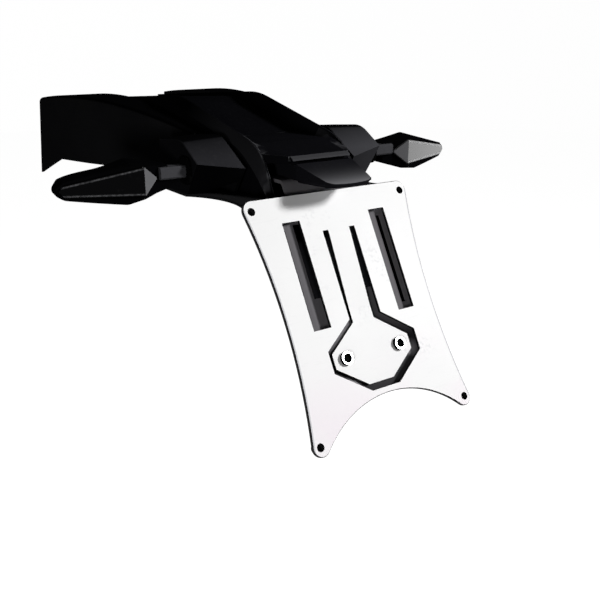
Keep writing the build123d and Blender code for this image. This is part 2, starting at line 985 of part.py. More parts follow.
def posts(spots, solid):
    """Screw posts that stand on the undertray inside a solid, with their pilot holes."""
    with BuildPart() as group:
        with BuildSketch(Plane.XY.offset(tray_top)):
            with Locations(*spots):
                Circle(post_d / 2)
        extrude(amount=rim_peak_up)
        add(solid, mode=Mode.INTERSECT)
        with BuildSketch(Plane.XY.offset(tray_top)):
            with Locations(*spots):
                Circle(small_screw_d / 2 + pilot_gap)
        extrude(amount=boss_bore, mode=Mode.SUBTRACT)
    return group.part


# Indicator pods: faceted hollow mouldings that stand out from the tail on both sides
def pod_section(half, top, nose, heel, front_up, skin):
    """Side view of a pod at a distance from the centre, drawn in by a skin."""
    foot = floor_level - 2 * skin
    with BuildSketch(side(half)) as section:
        with BuildLine():
            Polyline(
                at(top[0], top[1] - skin),
                at(nose[0] + skin, nose[1]),
                at(heel + skin, foot),
                at(pod_front_ahead - skin, foot),
                at(pod_front_ahead - skin, front_up - skin),
                close=True,
            )
        make_face()
    return section.sketch


pod_root_half = flank_half + pod_groove
pod_root = (pod_root_top, pod_root_nose, pod_root_heel, pod_root_front_up)
pod_end = (pod_end_top, pod_end_nose, pod_end_heel, pod_end_front_up)

with BuildPart() as pod_body:
    loft(
        [
            pod_section(pod_root_half, *pod_root, 0),
            pod_section(pod_end_half, *pod_end, 0),
        ]
    )
    ridge = pod_body.faces().sort_by(Axis.Z)[-1].edges().sort_by(Axis.Y)[0]
    fillet(ridge, pod_ridge_r)
    fillet(pod_body.faces().sort_by(Axis.X)[-1].edges().sort_by(Axis.Z)[1:], pod_end_r)

with BuildPart() as right_indicator_pod:
    add(pod_body.part)
    loft(
        [
            pod_section(pod_root_half + wall, *pod_root, wall),
            pod_section(pod_end_half - wall, *pod_end, wall),
        ],
        mode=Mode.SUBTRACT,
    )
    add(posts([over(pod_screw_half, ahead) for ahead in pod_screw_ahead], pod_body.part))
    with BuildSketch(side(pod_end_half)):
        with Locations(at(stalk_ahead, stalk_up)):
            Circle(stalk_thread_d / 2 + fit_gap)
    extrude(amount=-2 * wall, mode=Mode.SUBTRACT)
finish(right_indicator_pod.part, "right_indicator_pod")
finish(left_of(right_indicator_pod.part), "left_indicator_pod")
finish(tray_screws(pod_spots), "pod_screws")


# Side covers: hollow mouldings that widen forward from the pods
def cover_block(skin):
    """Solid within a side cover, drawn in by a skin on its outer, upper and rear sides."""
    start = pod_front_ahead + fit_gap + skin
    front = tail_front + skin
    inner = flank_half + fit_gap - skin
    with BuildPart() as block:
        with BuildSketch(level(-cover_low - skin)):
            with BuildLine():
                Polyline(
                    over(cover_front_half - skin, front + cover_rake),
                    over(inner, front + cover_rake),
                    over(inner, start),
                    over(cover_rear_half - skin, start),
                )
                ThreePointArc(
                    over(cover_rear_half - skin, start),
                    over(cover_mid_half - skin, cover_mid_ahead),
                    over(cover_front_half - skin, front + cover_rake),
                )
            make_face()
        extrude(amount=2 * rim_peak_up)
        with BuildSketch(Plane.YZ):
            with BuildLine():
                top = Spline(
                    at(pod_front_ahead, cover_rear_up - skin),
                    at(cover_crown_ahead, cover_crown_up - skin),
                    at(front, cover_front_up - skin),
                )
                Polyline(
                    top @ 1,
                    at(front + cover_rake, -cover_low - skin),
                    *[at(ahead, up - skin) for ahead, up in cover_skirt],
                    at(pod_front_ahead, floor_level - skin),
                    top @ 0,
                )
            make_face()
        extrude(amount=2 * cover_front_half, mode=Mode.INTERSECT)
        upper = block.faces().sort_by(Axis.Z)[-1].edges()
        fillet(upper.sort_by(Axis.X)[-1], cover_edge_r - skin)
    return block.part


cover_body = cover_block(0)
with BuildPart() as cover_inner_wall:
    with BuildSketch(Plane.XY.offset(tray_top)):
        with Locations(over(flank_half + fit_gap + wall / 2, tail_front / 2)):
            Rectangle(wall, 2 * tail_front)
    extrude(amount=rim_peak_up)
    add(cover_body, mode=Mode.INTERSECT)
with BuildPart() as right_side_cover:
    add(cover_body)
    add(cover_block(wall), mode=Mode.SUBTRACT)
    add(cover_inner_wall.part)
    add(posts([over(cover_screw_half, ahead) for ahead in cover_screw_ahead], cover_body))
finish(right_side_cover.part, "right_side_cover")
finish(left_of(right_side_cover.part), "left_side_cover")
finish(tray_screws(cover_spots), "cover_screws")

# Plate lamp: a hood plugged under the deck, with a lens in its underside and a lamp board
flange_top = -bracket_sheet
hood_slope = (hood_back_up - hood_front_up) / (hood_back + hood_reach)
window_roof = hood_back_up - hood_slope * (hood_back + window_front) - hood_wall
lamp_spots = both_sides(lamp_screw_half, [lamp_screw_ahead])

with BuildPart() as hood_body:
    with BuildSketch(level(hood_low_up)):
        with BuildLine():
            Line(over(0, hood_back), over(hood_back_half, hood_back))
            Line(over(hood_back_half, hood_back), over(hood_front_half, hood_bow - hood_reach))
            mirror(about=Plane.YZ)
            ThreePointArc(
                over(hood_front_half, hood_bow - hood_reach),
                over(0, -hood_reach),
                over(-hood_front_half, hood_bow - hood_reach),
            )
        make_face()
    extrude(amount=hood_back_up)
    fillet(hood_body.edges().filter_by(Axis.Z).group_by(Axis.Y)[0], hood_corner_r)
    with BuildSketch(Plane.YZ):
        with BuildLine():
            Polyline(
                at(hood_back, hood_back_up),
                at(-hood_reach, hood_front_up),
                at(-hood_reach, hood_low_up),
                at(hood_back, hood_low_up),
                close=True,
            )
        make_face()
    extrude(amount=hood_back_half, both=True, mode=Mode.INTERSECT)
    chamfer(hood_body.faces().sort_by(Axis.Z)[0].edges().sort_by(Axis.Y)[:-1], hood_undercut)
    with BuildSketch(Plane.XY.offset(flange_top)):
        with Locations(over(0, (hood_plug_ahead + hood_back - hood_wall) / 2)):
            Rectangle(2 * hood_plug_half, hood_plug_ahead - hood_back + hood_wall)
    extrude(amount=hood_plug_up - plate_drop - flange_top)

with BuildPart() as lamp_hood:
    add(hood_body.part)
    with BuildSketch(level(hood_low_up)):
        with Locations(over(0, (window_back - window_front) / 2)):
            Rectangle(2 * window_half + 2 * fit_gap, window_back + window_front + 2 * fit_gap)
    extrude(amount=lamp_lens_t, mode=Mode.SUBTRACT)
    with BuildSketch(Plane.YZ):
        with BuildLine():
            Polyline(
                at(ledge - window_front, hood_low_up),
                at(ledge - window_front, window_roof + hood_slope * ledge),
                at(hood_back - hood_wall, hood_back_up - hood_wall * (1 + hood_slope)),
                at(hood_back - hood_wall, hood_low_up),
                close=True,
            )
        make_face()
    extrude(amount=window_half - ledge, both=True, mode=Mode.SUBTRACT)
    with BuildSketch(Plane.XY.offset(flange_top)):
        with Locations(over(0, (hood_plug_ahead + hood_back) / 2)):
            Rectangle(2 * (hood_plug_half - hood_wall), hood_plug_ahead - hood_back - 2 * hood_wall)
    extrude(amount=hood_plug_up - plate_drop - flange_top - hood_wall, mode=Mode.SUBTRACT)
    with BuildSketch(Plane.XY.offset(flange_top)):
        with Locations(*lamp_spots):
            Circle(post_d / 2)
    extrude(amount=hood_plug_up - plate_drop - flange_top - hood_wall / 2)
    with BuildSketch(level(lamp_board_up)):
        with Locations(over(lamp_post_half, 0), over(-lamp_post_half, 0)):
            Circle(lamp_post_d / 2)
    extrude(amount=hood_back_up - hood_slope * hood_back - hood_wall / 2 - lamp_board_up)
    with BuildSketch(Plane.XY.offset(flange_top)):
        with Locations(*lamp_spots):
            Circle(small_screw_d / 2 + pilot_gap)
    extrude(amount=lamp_bore, mode=Mode.SUBTRACT)
finish(lamp_hood.part, "lamp_hood")

with BuildPart() as lamp_lens:
    with BuildSketch(level(hood_low_up)):
        with Locations(over(0, (window_back - window_front) / 2)):
            Rectangle(2 * window_half, window_back + window_front)
    extrude(amount=lamp_lens_t)
finish(lamp_lens.part, "lamp_lens")

with BuildPart() as lamp_board:
    with BuildSketch(level(lamp_board_up)):
        with Locations(over(0, 0)):
            Rectangle(2 * lamp_board_half, lamp_board_w)
    extrude(amount=-board_t)
finish(lamp_board.part, "lamp_board")
finish(
    screws(
        below(flange_bottom),
        seen_from_below(lamp_spots),
        pan_head_d,
        pan_head_h,
        small_screw_d,
        sheet + lamp_bore - thread_end,
        pan_socket,
    ),
    "lamp_screws",
)


# Indicators: a threaded stalk on a rubber base carries a two-part shell with a faceted lens
with BuildPart() as right_indicator_base:
    with BuildSketch(side(pod_end_half)):
        with Locations(at(stalk_ahead, stalk_up)):
            RectangleRounded(gasket_w, gasket_h, gasket_r)
            Circle(stalk_thread_d / 2 + fit_gap, mode=Mode.SUBTRACT)
    extrude(amount=gasket_t)
    chamfer(right_indicator_base.faces().sort_by(Axis.X)[-1].outer_wire().edges(), stalk_edge)
finish(right_indicator_base.part, "right_indicator_base")
finish(left_of(right_indicator_base.part), "left_indicator_base")

stalk_start = pod_end_half + gasket_t
stalk_thread = gasket_t + wall + stalk_nut_h + thread_end

with BuildPart() as right_indicator_stalk:
    with BuildSketch(side(stalk_start)):
        with Locations(at(stalk_ahead, stalk_up)):
            Rectangle(stalk_w, stalk_h)
    extrude(amount=stalk_end_half - stalk_start)
    chamfer(right_indicator_stalk.edges().filter_by(Axis.X), stalk_edge)
    with BuildSketch(side(stalk_start)):
        with Locations(at(stalk_ahead, stalk_up)):
            Circle(stalk_thread_d / 2)
    extrude(amount=-stalk_thread)
finish(right_indicator_stalk.part, "right_indicator_stalk")
finish(left_of(right_indicator_stalk.part), "left_indicator_stalk")

with BuildPart() as right_stalk_nut:
    with BuildSketch(side(pod_end_half - wall)):
        with Locations(at(stalk_ahead, stalk_up)):
            RegularPolygon(stalk_nut_af / 2, 6, major_radius=False)
            Circle(stalk_thread_d / 2 + pilot_gap, mode=Mode.SUBTRACT)
    extrude(amount=-stalk_nut_h)
finish(right_stalk_nut.part, "right_stalk_nut")
finish(left_of(right_stalk_nut.part), "left_stalk_nut")


shell_end_half = lens_end_half + shell_end_reach


def lens_line(deeper):
    """Plan view of the lens's rear face, moved forward."""
    lens_outer = (shell_end_half, shell_end_ahead[0] - lens_rim)
    return [over(half, ahead + deeper) for half, ahead in (lens_inner, lens_ridge, lens_outer)]


def lens_band(near, far):
    """Solid between two depths behind the lens's rear face."""
    with BuildPart() as band:
        with BuildSketch():
            with BuildLine():
                Polyline(*lens_line(near), *reversed(lens_line(far)), close=True)
            make_face()
        extrude(amount=2 * plate_drop, both=True)
    return band.part


def lens_solid(grow, near, far):
    """The lens outline seen from the rear, grown, between two depths."""
    with BuildPart() as solid:
        with BuildSketch(rear_view(pod_front_ahead)) as outline:
            with BuildLine():
                Polyline(
                    across(lens_point_half, lens_left_up),
                    across(lens_ridge[0], lens_ridge_up[1]),
                    across(lens_end_half, lens_end_up[1]),
                    across(lens_end_half + lens_tip_reach, lens_tip_up),
                    across(lens_end_half, lens_end_up[0]),
                    across(lens_ridge[0], lens_ridge_up[0]),
                    close=True,
                )
            make_face()
            fillet(outline.vertices(), lens_corner_r)
            offset(amount=grow)
        extrude(amount=pod_front_ahead)
        add(lens_band(near, far), mode=Mode.INTERSECT)
    return solid.part


def shell_section(ahead, size, tip_size):
    """Rear view of the shell at a distance ahead, drawn in about the height of its tip."""
    def drawn_in(half, up):
        return across(half, shell_tip_up + size * (up - shell_tip_up))

    tip = across(lens_end_half + shell_tip_reach, shell_tip_up)
    tip_low, tip_high = [
        across(lens_end_half, shell_tip_up + tip_size * rise) for rise in shell_tip_rise
    ]
    crown = drawn_in(*shell_crown)
    keel = drawn_in(*shell_keel)
    root_low = drawn_in(shell_inner_half, shell_inner_up[0])
    root_high = drawn_in(shell_inner_half, shell_inner_up[1])
    with BuildSketch(rear_view(ahead)) as section:
        with BuildLine():
            Polyline(root_low, root_high, crown, tip_high, tip, tip_low, keel, close=True)
        make_face()
        corners = section.vertices().sort_by(Axis.X)
        fillet(corners[2:4], shell_crown_r)
        fillet(section.vertices().sort_by(Axis.X)[-3:], shell_tip_r)
    return section.sketch


cavity_floor = lens_t + cavity_depth

with BuildPart() as right_indicator_shell:
    loft([shell_section(*section) for section in shell_sections], ruled=True)
    with BuildSketch():
        with BuildLine():
            front = Spline(
                over(shell_end_half, shell_end_ahead[1]),
                over(lens_end_half - shell_shoulder_back, shell_shoulder_ahead),
                over(*shell_belly),
                over(shell_inner_half, shell_inner_ahead[1]),
            )
            Polyline(
                front @ 1,
                over(shell_inner_half, shell_inner_ahead[0]),
                over(*shell_heel),
                over(lens_ridge[0], lens_ridge[1] + lens_rim),
                over(shell_end_half, shell_end_ahead[0]),
                front @ 0,
            )
        make_face()
    extrude(amount=2 * plate_drop, both=True, mode=Mode.INTERSECT)
    add(lens_solid(fit_gap, -lens_t, lens_t), mode=Mode.SUBTRACT)
    add(lens_solid(-lens_ledge, 0, cavity_floor), mode=Mode.SUBTRACT)
    with BuildSketch(side(stalk_end_half + fit_gap)):
        with Locations(at(stalk_ahead, stalk_up)):
            Rectangle(stalk_w + 2 * fit_gap, stalk_h + 2 * fit_gap)
    extrude(amount=shell_inner_half - stalk_end_half - stalk_w, mode=Mode.SUBTRACT)
finish(right_indicator_shell.part, "right_indicator_shell")
finish(left_of(right_indicator_shell.part), "left_indicator_shell")

right_indicator_lens = lens_solid(0, 0, lens_t)
finish(right_indicator_lens, "right_indicator_lens")
finish(left_of(right_indicator_lens), "left_indicator_lens")

with BuildPart() as right_indicator_board:
    with BuildSketch(rear_view(pod_front_ahead)):
        with Locations(across((lens_ridge[0] + lens_end_half) / 2, board_up)):
            Rectangle(board_share * (lens_end_half - lens_ridge[0]), board_w)
    extrude(amount=pod_front_ahead)
    add(lens_band(cavity_floor - board_t, cavity_floor), mode=Mode.INTERSECT)
finish(right_indicator_board.part, "right_indicator_board")
finish(left_of(right_indicator_board.part), "left_indicator_board")
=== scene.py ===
import math

import bpy
from mathutils import Matrix, Vector


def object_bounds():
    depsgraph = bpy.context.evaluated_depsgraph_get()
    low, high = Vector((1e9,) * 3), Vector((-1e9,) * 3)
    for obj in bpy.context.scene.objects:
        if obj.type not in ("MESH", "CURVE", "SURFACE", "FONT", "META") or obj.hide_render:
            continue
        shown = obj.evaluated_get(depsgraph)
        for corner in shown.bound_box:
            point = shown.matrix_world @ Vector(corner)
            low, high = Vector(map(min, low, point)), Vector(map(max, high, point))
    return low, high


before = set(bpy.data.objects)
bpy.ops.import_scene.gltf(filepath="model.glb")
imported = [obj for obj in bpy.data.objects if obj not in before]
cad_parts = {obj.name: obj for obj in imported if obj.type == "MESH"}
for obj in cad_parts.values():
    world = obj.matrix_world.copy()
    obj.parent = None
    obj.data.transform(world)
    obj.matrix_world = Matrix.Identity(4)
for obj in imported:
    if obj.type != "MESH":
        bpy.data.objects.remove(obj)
cad_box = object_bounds()

# Mounting bracket
# Laser-cut steel sheet with turned-down edges, sprayed with satin black powder and baked.
# Four bolts hold it under the subframe, and it carries every other piece.
joined_within = 0.00001
sharp_from = math.radians(35)
noise_range = (0.3, 0.7)


def new_finish(name, colour, roughness, metallic=0.0, gloss=0.5):
    """A material with its plain values; returns the material, its tree and its shader."""
    material = bpy.data.materials.new(name)
    material.use_nodes = True
    shader = material.node_tree.nodes["Principled BSDF"]
    shader.inputs["Base Color"].default_value = (*colour, 1.0)
    shader.inputs["Roughness"].default_value = roughness
    shader.inputs["Metallic"].default_value = metallic
    shader.inputs["Specular IOR Level"].default_value = gloss
    return material, material.node_tree, shader


def dress(material, *nodes):
    """Gives CAD pieces a material."""
    for node in nodes:
        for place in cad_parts[node].material_slots:
            place.material = material


def break_edges(*nodes, width):
    """Takes the sharpness off the edges of CAD pieces, as tumbling or a mould's polish does."""
    for node in nodes:
        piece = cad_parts[node]
        weld = piece.modifiers.new("joined faces", "WELD")
        weld.merge_threshold = joined_within
        bevel = piece.modifiers.new("broken edges", "BEVEL")
        bevel.width = width
        bevel.segments = 2
        bevel.limit_method = "ANGLE"
        bevel.angle_limit = sharp_from
        bevel.use_clamp_overlap = True
        bevel.harden_normals = True


def new_group(name, inputs, outputs):
    """An empty shader group; inputs are (name, default) values and outputs are names."""
    group = bpy.data.node_groups.new(name, "ShaderNodeTree")
    for label, default in inputs:
        socket = group.interface.new_socket(label, in_out="INPUT", socket_type="NodeSocketFloat")
        socket.default_value = default
    for label in outputs:
        group.interface.new_socket(label, in_out="OUTPUT", socket_type="NodeSocketFloat")
    return group, group.nodes.new("NodeGroupInput"), group.nodes.new("NodeGroupOutput")


def place_group(tree, group, **values):
    """Places a group in a material and sets its inputs."""
    node = tree.nodes.new("ShaderNodeGroup")
    node.node_tree = group
    for label, value in values.items():
        node.inputs[label.replace("_", " ")].default_value = value
    return node


def stretched(tree, value, from_low, from_high, to_low, to_high):
    """A value moved from one range to another and held inside it."""
    node = tree.nodes.new("ShaderNodeMapRange")
    for label, number in (
        ("From Min", from_low),
        ("From Max", from_high),
        ("To Min", to_low),
        ("To Max", to_high),
    ):
        node.inputs[label].default_value = number
    tree.links.new(value, node.inputs["Value"])
    return node.outputs["Result"]


def blended(tree, mask, first, second):
    """A colour that runs from the first to the second as a mask runs from 0 to 1."""
    mix = tree.nodes.new("ShaderNodeMix")
    mix.data_type = "RGBA"
    tree.links.new(mask, mix.inputs["Factor"])
    for label, colour in (("A", first), ("B", second)):
        if isinstance(colour, tuple):
            mix.inputs[label].default_value = (*colour, 1.0)
        else:
            tree.links.new(colour, mix.inputs[label])
    return mix.outputs["Result"]


def cloud(tree, place, scale, detail, distortion=0.0):
    """A noise; the scale is a number or a socket."""
    noise = tree.nodes.new("ShaderNodeTexNoise")
    noise.inputs["Detail"].default_value = detail
    noise.inputs["Distortion"].default_value = distortion
    tree.links.new(place, noise.inputs["Vector"])
    if isinstance(scale, (int, float)):
        noise.inputs["Scale"].default_value = scale
    else:
        tree.links.new(scale, noise.inputs["Scale"])
    return noise.outputs["Fac"]


def bumped(tree, shader, height, strength, distance):
    """Feeds a height to a shader's normal."""
    bump = tree.nodes.new("ShaderNodeBump")
    bump.inputs["Strength"].default_value = strength
    bump.inputs["Distance"].default_value = distance
    tree.links.new(height, bump.inputs["Height"])
    tree.links.new(bump.outputs["Normal"], shader.inputs["Normal"])


def own_place(tree):
    """Places on the object, in metres."""
    return tree.nodes.new("ShaderNodeTexCoord").outputs["Object"]


# Orange peel is the fine waviness of a sprayed coat, and its cloud a slow change of sheen
orange_peel, peel_in, peel_out = new_group(
    "orange peel", [("Peel Scale", 700.0), ("Cloud Scale", 18.0)], ["Height", "Cloud"]
)
peel_place = own_place(orange_peel)
for peel_scale, peel_result, peel_detail in (("Peel Scale", "Height", 2.0), ("Cloud Scale", "Cloud", 4.0)):
    orange_peel.links.new(
        cloud(orange_peel, peel_place, peel_in.outputs[peel_scale], peel_detail), peel_out.inputs[peel_result]
    )


def powder_coat(name, dark, light, smooth, rough, gloss=0.2, painted_light=None, painted_light_grey=None):
    """A sprayed and baked coat whose colour and sheen drift between two values;
    an optional mask paints light on it as the given paler grey."""
    material, tree, shader = new_finish(name, dark, rough, gloss=gloss)
    peel = place_group(tree, orange_peel, Peel_Scale=650.0, Cloud_Scale=22.0)
    bumped(tree, shader, peel.outputs["Height"], strength=0.25, distance=0.0004)
    sheen = stretched(tree, peel.outputs["Cloud"], *noise_range, smooth, rough)
    tree.links.new(sheen, shader.inputs["Roughness"])
    grey = blended(tree, peel.outputs["Cloud"], dark, light)
    if painted_light is not None:
        grey = blended(tree, painted_light(tree), grey, painted_light_grey)
    tree.links.new(grey, shader.inputs["Base Color"])
    return material


bracket_coat = powder_coat(
    "bracket powder coat", dark=(0.03, 0.03, 0.032), light=(0.045, 0.045, 0.047), smooth=0.36, rough=0.54
)
dress(bracket_coat, "mount_bracket")
break_edges("mount_bracket", width=0.0004)

# Screws, bolts, nuts, washers and spacer tubes
# Cold-headed and turned steel with a bright zinc plating, slightly clouded.
# They clamp the sheets, the undertray and the mouldings together from below and behind.
zinc_dull = (0.62, 0.64, 0.67)
zinc_bright = (0.82, 0.83, 0.84)
spangle_scale = 420.0
zinc_sheen = (0.22, 0.42)


def bright_zinc(name):
    """A zinc plating; returns the material, its tree, its shader and its colour."""
    material, tree, shader = new_finish(name, zinc_bright, roughness=0.3, metallic=1.0)
    spangle = cloud(tree, own_place(tree), spangle_scale, detail=5.0)
    colour = blended(tree, spangle, zinc_dull, zinc_bright)
    tree.links.new(stretched(tree, spangle, *noise_range, *zinc_sheen), shader.inputs["Roughness"])
    tree.links.new(colour, shader.inputs["Base Color"])
    bumped(tree, shader, spangle, strength=0.06, distance=0.0002)
    return material, tree, shader, colour


plain_zinc = bright_zinc("bright zinc")[0]
dress(plain_zinc, "support_bolts", "support_nuts", "tray_spacers", "tray_bolts", "tray_nuts", "cowl_screws")
dress(plain_zinc, "pod_screws", "cover_screws", "lamp_screws", "left_stalk_nut", "right_stalk_nut")
dress(plain_zinc, "plate_washers", "plate_nuts", "back_cover_screws")

# Tail cowl
# One black injection moulding with a fine spark-eroded grain: two rims, their fins and a rear deck.
# It stands on the bracket and six screws pull it down from below.
# The first two colours are painted shade, a deeper black, and painted light, a paler grey
painted_shade_black = (0.002, 0.002, 0.0024)
default_painted_light_grey = (0.05, 0.05, 0.054)
dust_scale = 260.0
dust_lean = (0.4, 1.0)
dust_specks = (0.55, 0.8)
dust_share = 0.5
dust_gain = 1.6
dust_base = 0.002
rub_scale = 14.0
deck_fade = (-0.17, -0.1)
pale_way = (0.5, -0.8, 0.33)
pale_lean = (0.46, 0.62)
flare_lean = (0.25, 0.4)
flare_turn = (0.2, 0.55)
flare_share = 0.3
fin_turn = (0.05, 0.2)
lip_half = 0.036
lip_foot = 0.0122


def worked_out(tree, operation, first, second=None):
    """A maths node; each input is a socket or a number."""
    node = tree.nodes.new("ShaderNodeMath")
    node.operation = operation
    for place, value in zip(node.inputs, (first, second)):
        if value is None:
            continue
        if isinstance(value, (int, float)):
            place.default_value = value
        else:
            tree.links.new(value, place)
    return node.outputs["Value"]


def growing(tree, value, none_at, full_at):
    """A mask that grows from 0 at one value to 1 at another."""
    return stretched(tree, value, none_at, full_at, 0.0, 1.0)


def axes_of(tree, place):
    """The X, Y and Z of a place or a direction."""
    axes = tree.nodes.new("ShaderNodeSeparateXYZ")
    tree.links.new(place, axes.inputs["Vector"])
    return axes.outputs


def facing(tree):
    """The direction that a face looks in."""
    return tree.nodes.new("ShaderNodeNewGeometry").outputs["Normal"]


def along(tree, place, direction, start=(0.0, 0.0, 0.0)):
    """Distance of a place from a start point along a direction."""
    moved = tree.nodes.new("ShaderNodeVectorMath")
    moved.operation = "SUBTRACT"
    moved.inputs[1].default_value = start
    tree.links.new(place, moved.inputs[0])
    reach = tree.nodes.new("ShaderNodeVectorMath")
    reach.operation = "DOT_PRODUCT"
    reach.inputs[1].default_value = direction
    tree.links.new(moved.outputs["Vector"], reach.inputs[0])
    return reach.outputs["Value"]


# Mould grain is the pebbling left by the mould, rub the sheen where hands and cloths passed,
# and dust what has settled on the faces that look up
mould_grain, grain_in, grain_out = new_group(
    "mould grain", [("Grain Scale", 900.0), ("Rub Scale", 12.0)], ["Height", "Rub", "Dust"]
)
grain_place = own_place(mould_grain)
grain_pebbles = mould_grain.nodes.new("ShaderNodeTexVoronoi")
grain_pebbles.feature = "SMOOTH_F1"
mould_grain.links.new(grain_place, grain_pebbles.inputs["Vector"])
mould_grain.links.new(grain_in.outputs["Grain Scale"], grain_pebbles.inputs["Scale"])
grain_fine = cloud(mould_grain, grain_place, grain_in.outputs["Grain Scale"], detail=3.0)
grain_rub = cloud(mould_grain, grain_place, grain_in.outputs["Rub Scale"], detail=5.0, distortion=0.6)
grain_upward = growing(mould_grain, axes_of(mould_grain, facing(mould_grain))["Z"], *dust_lean)
grain_specks = growing(mould_grain, cloud(mould_grain, grain_place, dust_scale, detail=6.0), *dust_specks)
for grain_result, grain_value in (
    ("Height", worked_out(mould_grain, "ADD", grain_pebbles.outputs["Distance"], grain_fine)),
    ("Rub", grain_rub),
    ("Dust", worked_out(mould_grain, "MULTIPLY", grain_upward, grain_specks)),
):
    mould_grain.links.new(grain_value, grain_out.inputs[grain_result])


def moulded_black(name, dark, light, smooth, rough, grain, depth, painted_shade=None, painted_light=None, painted_light_grey=default_painted_light_grey):
    """A moulded black plastic; an optional mask paints shade on it as a deeper black,
    and another paints light on it as the given paler grey."""
    material, tree, shader = new_finish(name, dark, rough, gloss=0.0)
    marks = place_group(tree, mould_grain, Grain_Scale=grain, Rub_Scale=rub_scale)
    bumped(tree, shader, marks.outputs["Height"], strength=depth, distance=0.0003)
    sheen = stretched(tree, marks.outputs["Rub"], *noise_range, smooth, rough)
    tree.links.new(sheen, shader.inputs["Roughness"])
    rubbed = blended(tree, growing(tree, marks.outputs["Rub"], *noise_range), dark, light)
    dusty = tuple(dust_gain * shade + dust_base for shade in light)
    grey = blended(tree, worked_out(tree, "MULTIPLY", marks.outputs["Dust"], dust_share), rubbed, dusty)
    if painted_light is not None:
        grey = blended(tree, painted_light(tree), grey, painted_light_grey)
    if painted_shade is not None:
        grey = blended(tree, painted_shade(tree), grey, painted_shade_black)
    tree.links.new(grey, shader.inputs["Base Color"])
    return material


def ahead_of_deck(tree):
    """Mask of the rims and fins ahead of the deck, where shade is painted."""
    return growing(tree, axes_of(tree, own_place(tree))["Y"], *deck_fade)


def pale_faces(tree):
    """Mask of painted light on the deck's lip and on the fins' faces turned towards the rear right,
    where the key lamp falls, and on the fins' flared edges."""
    normal = facing(tree)
    lean = axes_of(tree, normal)
    sideways = worked_out(tree, "ABSOLUTE", lean["X"])
    flared = worked_out(
        tree,
        "MULTIPLY",
        growing(tree, lean["Z"], *flare_lean),
        stretched(tree, sideways, *flare_turn, 0.0, flare_share),
    )
    place = axes_of(tree, own_place(tree))
    across = worked_out(tree, "ABSOLUTE", place["X"])
    lip = worked_out(
        tree,
        "MULTIPLY",
        worked_out(tree, "LESS_THAN", across, lip_half),
        worked_out(tree, "GREATER_THAN", place["Z"], lip_foot),
    )
    turned = worked_out(
        tree,
        "MULTIPLY",
        worked_out(tree, "GREATER_THAN", across, lip_half),
        growing(tree, sideways, *fin_turn),
    )
    rear_right = worked_out(
        tree,
        "MULTIPLY",
        growing(tree, along(tree, normal, pale_way), *pale_lean),
        worked_out(tree, "MAXIMUM", lip, turned),
    )
    return worked_out(tree, "MAXIMUM", rear_right, flared)


cowl_black = moulded_black(
    "cowl black",
    dark=(0.0045, 0.0045, 0.0055),
    light=(0.006, 0.006, 0.0075),
    smooth=0.5,
    rough=0.62,
    grain=1100.0,
    depth=0.2,
    painted_shade=ahead_of_deck,
    painted_light=pale_faces,
)
dress(cowl_black, "tail_cowl")
break_edges("tail_cowl", width=0.0005)

# Spine panel
# A shallow black moulding with a smoother, deeper finish than the cowl round it.
# It drops into the channel between the rims.
panel_black = moulded_black(
    "panel black",
    dark=(0.003, 0.003, 0.004),
    light=(0.0045, 0.0045, 0.0055),
    smooth=0.42,
    rough=0.55,
    grain=1400.0,
    depth=0.12,
)
dress(panel_black, "spine_panel")

# Undertray
# A flat black moulding that closes the tail from below, hung on spacer tubes under the bracket.
# The pods and the side covers are screwed to it from underneath.
tray_black = moulded_black(
    "tray black",
    dark=(0.011, 0.011, 0.012),
    light=(0.016, 0.016, 0.017),
    smooth=0.6,
    rough=0.75,
    grain=800.0,
    depth=0.25,
)
dress(tray_black, "undertray")

# Indicator pods
# Faceted hollow mouldings in black plastic with a coarser grain and soft ridges.
# Two screws through the undertray hold each pod beside its fin.
# Pod faces that look up, left or down get painted shade, and the right pod painted light
pod_paler = (-0.08, 0.08)
ridge_lean = (0.9, 0.97)
ridge_height = (0.012, 0.03)
ridge_share = 0.75
under_lean = (-0.1, -0.4)
right_under_share = 0.5
left_turn = (-0.5, -0.8)
left_share = 0.8


def right_hand(tree):
    """Mask that grows from the left pod to the right one, which gets painted light."""
    return growing(tree, axes_of(tree, own_place(tree))["X"], *pod_paler)


def dark_pod_faces(tree):
    """Mask of painted shade on the faces that look up, left or down, and on the ridge."""
    normal = axes_of(tree, facing(tree))
    height = axes_of(tree, own_place(tree))["Z"]
    ridge = worked_out(
        tree,
        "MAXIMUM",
        growing(tree, normal["Z"], *ridge_lean),
        stretched(tree, height, *ridge_height, 0.0, ridge_share),
    )
    under = worked_out(
        tree,
        "MULTIPLY",
        growing(tree, normal["Z"], *under_lean),
        stretched(tree, right_hand(tree), 0.0, 1.0, 1.0, right_under_share),
    )
    left = stretched(tree, normal["X"], *left_turn, 0.0, left_share)
    return worked_out(tree, "MAXIMUM", worked_out(tree, "MAXIMUM", ridge, under), left)


pod_black = moulded_black(
    "pod black",
    dark=(0.021, 0.021, 0.024),
    light=(0.026, 0.026, 0.029),
    smooth=0.5,
    rough=0.64,
    grain=1000.0,
    depth=0.25,
    painted_shade=dark_pod_faces,
    painted_light=right_hand,
    painted_light_grey=(0.056, 0.056, 0.062),
)
dress(pod_black, "left_indicator_pod", "right_indicator_pod")

# Side covers
# Deep black hollow mouldings that widen forward from the pods and end in a plain open front.
# Three screws through the undertray hold each of them against the cowl's flank.
cover_top_lean = (0.35, 0.6)


def cover_tops(tree):
    """Mask of the faces that look up, where shade is painted."""
    return growing(tree, axes_of(tree, facing(tree))["Z"], *cover_top_lean)


cover_black = moulded_black(
    "cover black",
    dark=(0.01, 0.01, 0.011),
    light=(0.014, 0.014, 0.015),
    smooth=0.55,
    rough=0.7,
    grain=1100.0,
    depth=0.2,
    painted_shade=cover_tops,
)
dress(cover_black, "left_side_cover", "right_side_cover")

